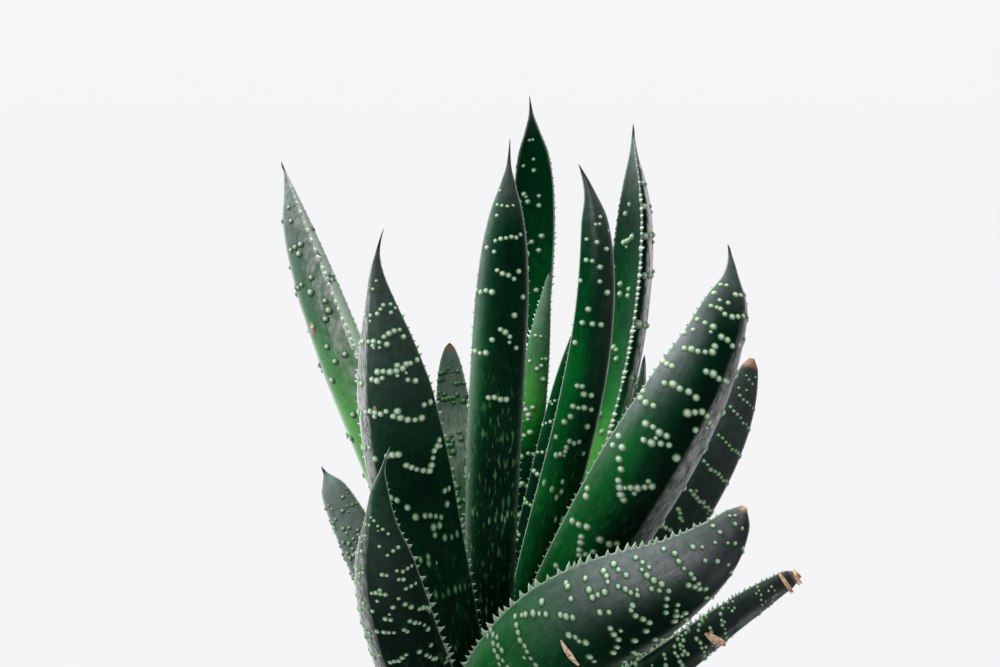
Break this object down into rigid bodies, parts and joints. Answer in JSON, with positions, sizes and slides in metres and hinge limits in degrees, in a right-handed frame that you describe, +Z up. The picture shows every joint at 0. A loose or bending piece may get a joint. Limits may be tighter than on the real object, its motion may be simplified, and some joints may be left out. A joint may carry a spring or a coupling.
{
  "type": "potted aloe",
  "caption": "Upright rosette of thick, tooth-edged succulent leaves with raised white tubercles, rooted in soil in a plain tapered clay pot that stands on its flat base.",
  "frame": {"origin": "centre of the pot's flat underside", "axes": "+Z up along the pot's axis, +X to the right and -Y towards the viewer of the pictured side"},
  "size_m": [0.1536, 0.1519, 0.297],
  "materials": {
    "leaf": "satin, waxy",
    "crown": "matte, papery",
    "soil": "rough, crumbly",
    "pot": "matte unglazed clay"
  },
  "bodies": {
    "root": {"pot": "pot", "soil": "soil", "crown": "crown", "leaf_01": "leaf", "leaf_02": "leaf", "leaf_03": "leaf", "leaf_04": "leaf", "leaf_05": "leaf", "leaf_06": "leaf", "leaf_07": "leaf", "leaf_08": "leaf", "leaf_09": "leaf", "leaf_10": "leaf", "leaf_11": "leaf", "leaf_12": "leaf", "leaf_13": "leaf", "leaf_14": "leaf", "leaf_15": "leaf", "leaf_16": "leaf", "leaf_17": "leaf", "leaf_18": "leaf", "leaf_19": "leaf", "leaf_20": "leaf", "leaf_21": "leaf", "leaf_22": "leaf", "leaf_23": "leaf", "leaf_24": "leaf"}
  },
  "joints": []
}
